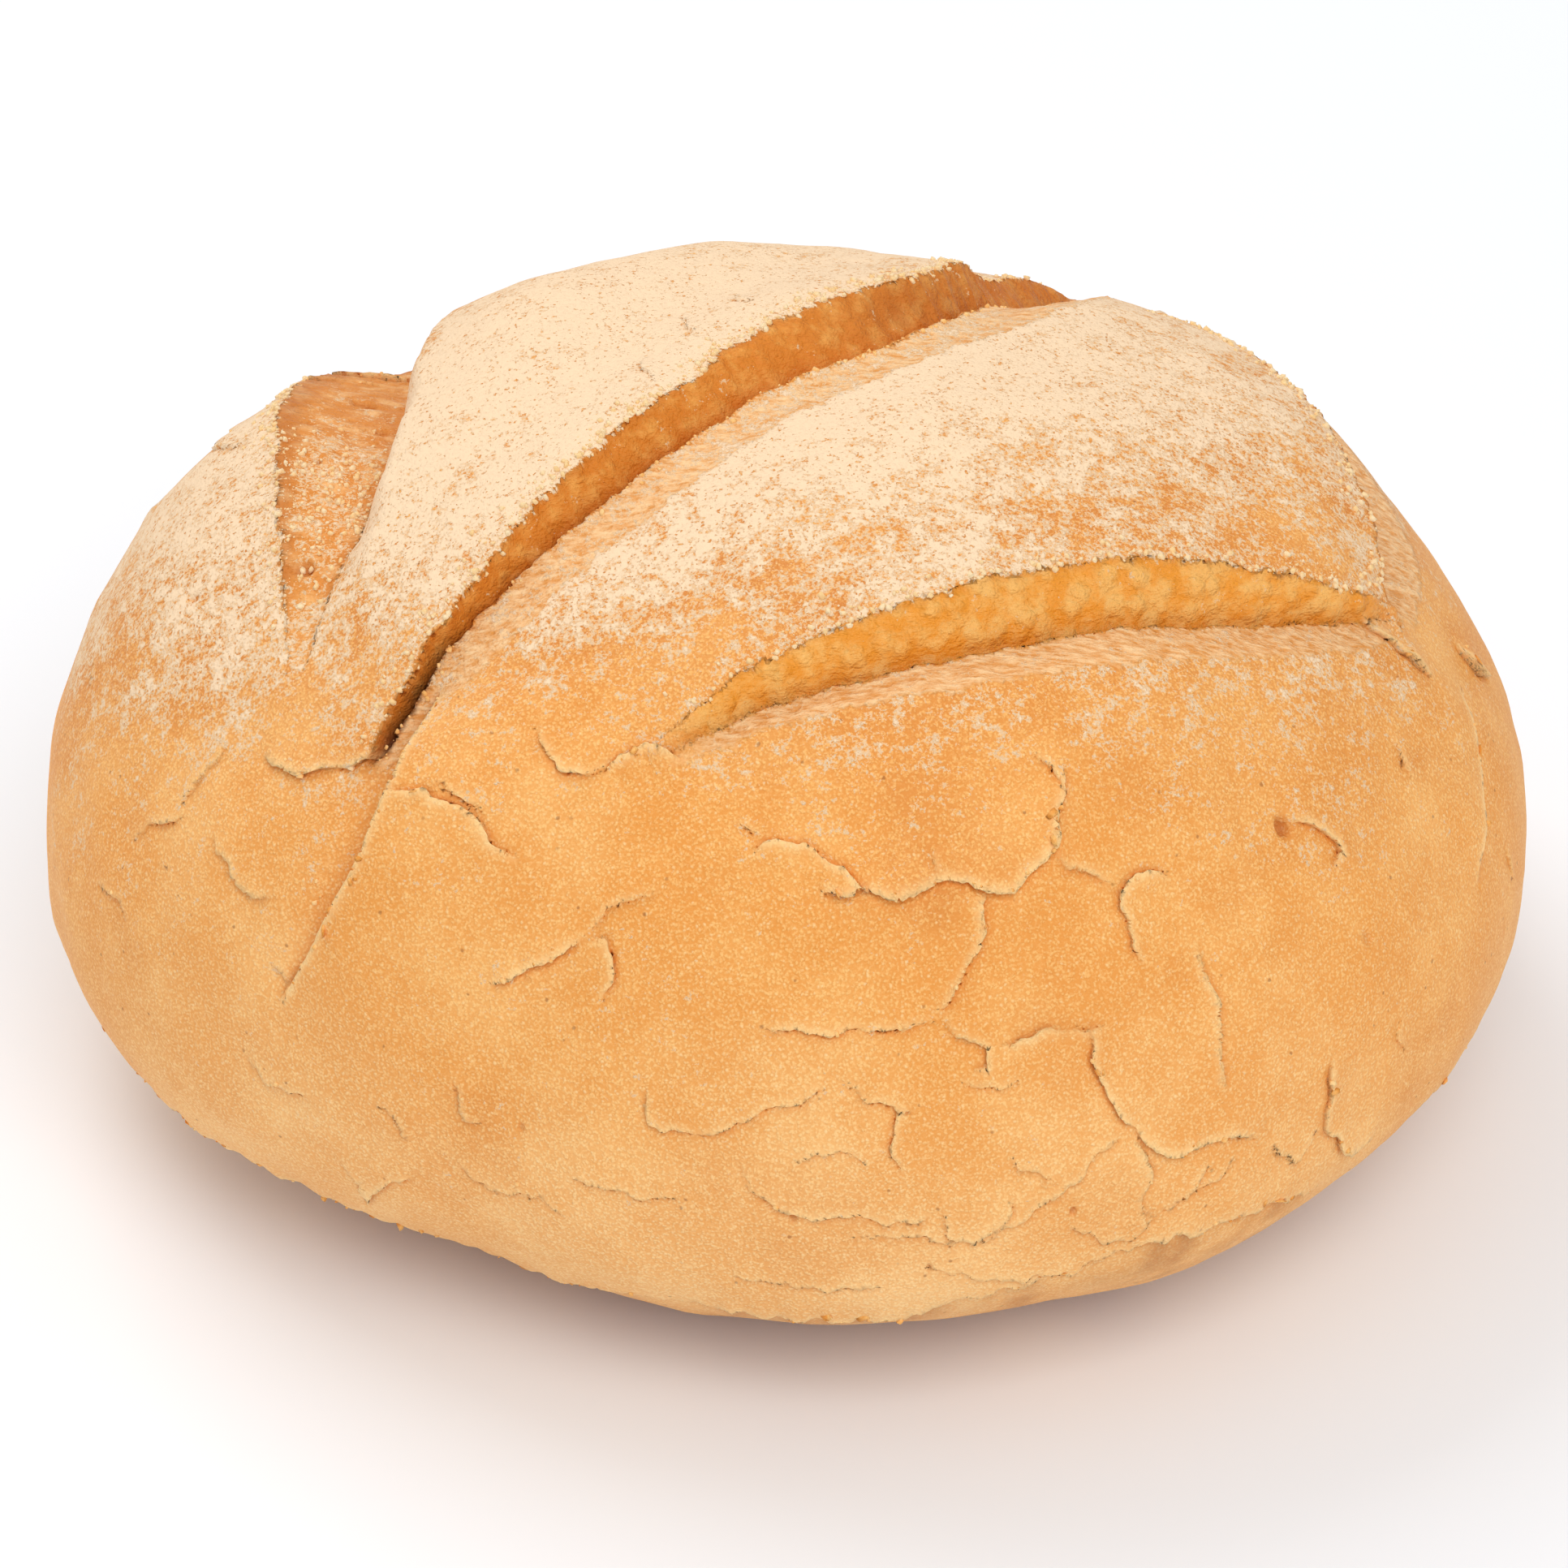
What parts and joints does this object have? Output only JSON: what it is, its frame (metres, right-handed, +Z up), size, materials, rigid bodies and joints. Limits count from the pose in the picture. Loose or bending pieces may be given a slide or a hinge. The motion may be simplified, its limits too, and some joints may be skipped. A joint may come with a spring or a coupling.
{
  "type": "cob loaf",
  "caption": "Round crusty white loaf with deep diagonal slashes and a dusting of flour, uncut, standing on its flat foot.",
  "frame": {"origin": "middle of the flat foot, below the middle of the loaf's box, at the height that the loaf stands on", "axes": "+X to the loaf's right along its length, +Y to its back, +Z up; the camera of the picture looks along +Y and down"},
  "size_m": [0.2144, 0.1844, 0.119],
  "materials": {
    "crust": "matte baked crust, dusted with flour on top"
  },
  "bodies": {
    "root": {"loaf": "crust"}
  },
  "joints": []
}
